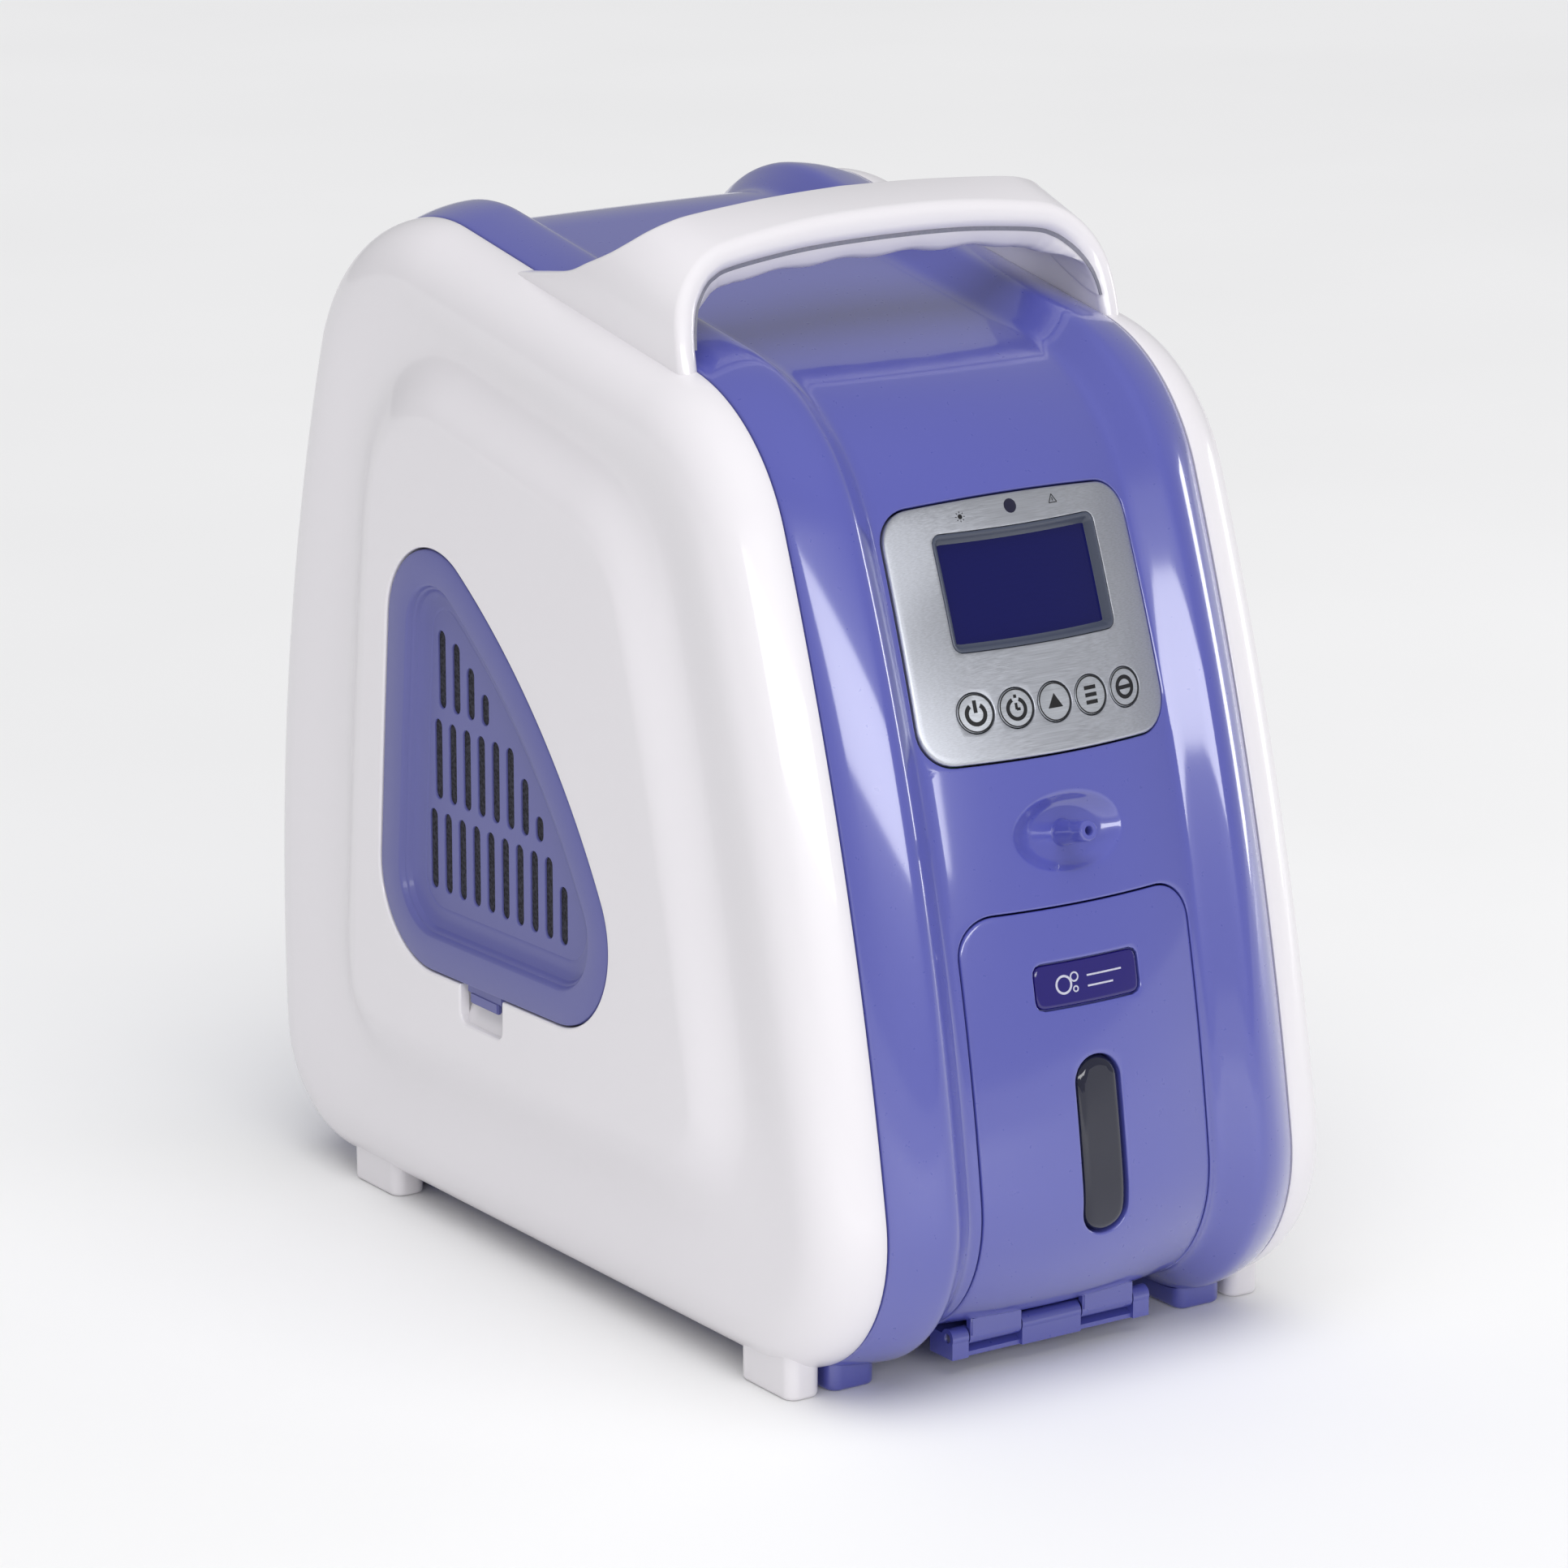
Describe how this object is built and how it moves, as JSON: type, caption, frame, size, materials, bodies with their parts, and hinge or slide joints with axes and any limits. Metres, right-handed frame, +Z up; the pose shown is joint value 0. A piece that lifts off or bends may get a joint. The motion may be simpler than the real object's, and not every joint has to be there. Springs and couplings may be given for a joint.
{
  "type": "oxygen concentrator",
  "caption": "Table-top oxygen concentrator with carry handle, tilting humidifier door, key panel, hose outlet, pull-off filter covers and a pressure swing air circuit.",
  "frame": {"origin": "on the table under the middle of the bounding box", "axes": "+Z up, front panel and outlet face -Y, +X is the machine's width"},
  "size_m": [0.202, 0.3428, 0.3448],
  "materials": {
    "coloured_plastic": "gloss moulded, violet blue",
    "white_plastic": "gloss moulded, warm white",
    "brushed_panel": "fine brushed along x",
    "display_frame": "satin grey blue",
    "display_glass": "polished navy glass",
    "key_silver": "satin silver print with dark line icon",
    "dark_lens": "polished",
    "badge_blue": "clear domed resin",
    "smoked_glass": "smoked, polished",
    "clear_bottle": "clear moulded",
    "lid_white": "satin",
    "dark_plastic": "satin black",
    "filter_foam": "open cell foam",
    "circuit_board": "solder mask",
    "steel": "zinc plated",
    "cast_aluminium": "as cast",
    "motor_iron": "laminated",
    "copper": "drawn tube",
    "black_rubber": "moulded",
    "hose_rubber": "silicone"
  },
  "bodies": {
    "chassis": {"core_shell": "coloured_plastic", "rear_panel": "coloured_plastic", "base_tray": "coloured_plastic", "cover_right": "white_plastic", "cover_left": "white_plastic", "core_feet": "coloured_plastic", "cover_feet": "white_plastic", "handle_shell": "white_plastic", "handle_grip": "white_plastic", "control_bezel": "brushed_panel", "lcd_frame": "display_frame", "lcd_window": "display_glass", "lcd_module": "dark_plastic", "keypad_board": "circuit_board", "status_lens": "dark_lens", "outlet_nozzle": "coloured_plastic", "door_hinge_bracket": "coloured_plastic", "door_hinge_pin": "steel", "humidifier_bay": "coloured_plastic", "humidifier_bottle": "clear_bottle", "humidifier_lid": "lid_white", "chassis_plate": "steel", "compressor_housing": "cast_aluminium", "cylinder_heads": "cast_aluminium", "compressor_stator": "motor_iron", "compressor_pistons": "cast_aluminium", "compressor_mounts": "black_rubber", "sieve_bed_left": "cast_aluminium", "sieve_bed_right": "cast_aluminium", "oxygen_tank": "cast_aluminium", "valve_manifold": "cast_aluminium", "valve_solenoids": "dark_plastic", "intake_muffler": "dark_plastic", "hepa_filter": "lid_white", "cooling_coil": "copper", "fan_frame": "dark_plastic", "control_board": "circuit_board", "power_supply": "circuit_board", "internal_hoses": "hose_rubber", "power_inlet": "dark_plastic", "power_switch_frame": "dark_plastic", "fuse_holder": "dark_plastic", "rear_screws": "steel", "tray_screws": "steel"},
    "key_power": {"key_power": "key_silver"},
    "key_timer": {"key_timer": "key_silver"},
    "key_up": {"key_up": "key_silver"},
    "key_menu": {"key_menu": "key_silver"},
    "key_stop": {"key_stop": "key_silver"},
    "humidifier_door": {"humidifier_door": "coloured_plastic", "door_window": "smoked_glass", "door_badge": "badge_blue"},
    "filter_cover_left": {"filter_cover_left": "coloured_plastic", "filter_pad_left": "filter_foam"},
    "filter_cover_right": {"filter_cover_right": "coloured_plastic", "filter_pad_right": "filter_foam"},
    "fan_rotor": {"fan_impeller": "dark_plastic"},
    "compressor_shaft": {"compressor_rotor": "steel"},
    "switch_rocker": {"power_switch_rocker": "dark_plastic"}
  },
  "joints": [
    {"name": "key_power_press", "type": "slide", "parent": "chassis", "child": "key_power", "axis": [0, 0.9493, -0.3144], "range_m": [0, 0.0006], "stiffness_N_per_m": 300},
    {"name": "key_timer_press", "type": "slide", "parent": "chassis", "child": "key_timer", "axis": [0, 0.9493, -0.3144], "range_m": [0, 0.0006], "stiffness_N_per_m": 300},
    {"name": "key_up_press", "type": "slide", "parent": "chassis", "child": "key_up", "axis": [0, 0.9493, -0.3144], "range_m": [0, 0.0006], "stiffness_N_per_m": 300},
    {"name": "key_menu_press", "type": "slide", "parent": "chassis", "child": "key_menu", "axis": [0, 0.9493, -0.3144], "range_m": [0, 0.0006], "stiffness_N_per_m": 300},
    {"name": "key_stop_press", "type": "slide", "parent": "chassis", "child": "key_stop", "axis": [0, 0.9493, -0.3144], "range_m": [0, 0.0006], "stiffness_N_per_m": 300},
    {"name": "door_hinge", "type": "hinge", "parent": "chassis", "child": "humidifier_door", "pos_m": [0, -0.139, 0.0126], "axis": [1, 0, 0], "range_deg": [0, 50]},
    {"name": "filter_left_pull", "type": "slide", "parent": "chassis", "child": "filter_cover_left", "axis": [-1, 0, 0], "range_m": [0, 0.03]},
    {"name": "filter_right_pull", "type": "slide", "parent": "chassis", "child": "filter_cover_right", "axis": [1, 0, 0], "range_m": [0, 0.03]},
    {"name": "fan_spin", "type": "hinge", "parent": "chassis", "child": "fan_rotor", "pos_m": [0, 0.1285, 0.118], "axis": [0, 1, 0], "continuous": true},
    {"name": "compressor_spin", "type": "hinge", "parent": "chassis", "child": "compressor_shaft", "pos_m": [0, 0.012, 0.084], "axis": [0, 1, 0], "continuous": true},
    {"name": "switch_rock", "type": "hinge", "parent": "chassis", "child": "switch_rocker", "pos_m": [0.022, 0.154, 0.051], "axis": [1, 0, 0], "range_deg": [0, 16]}
  ]
}
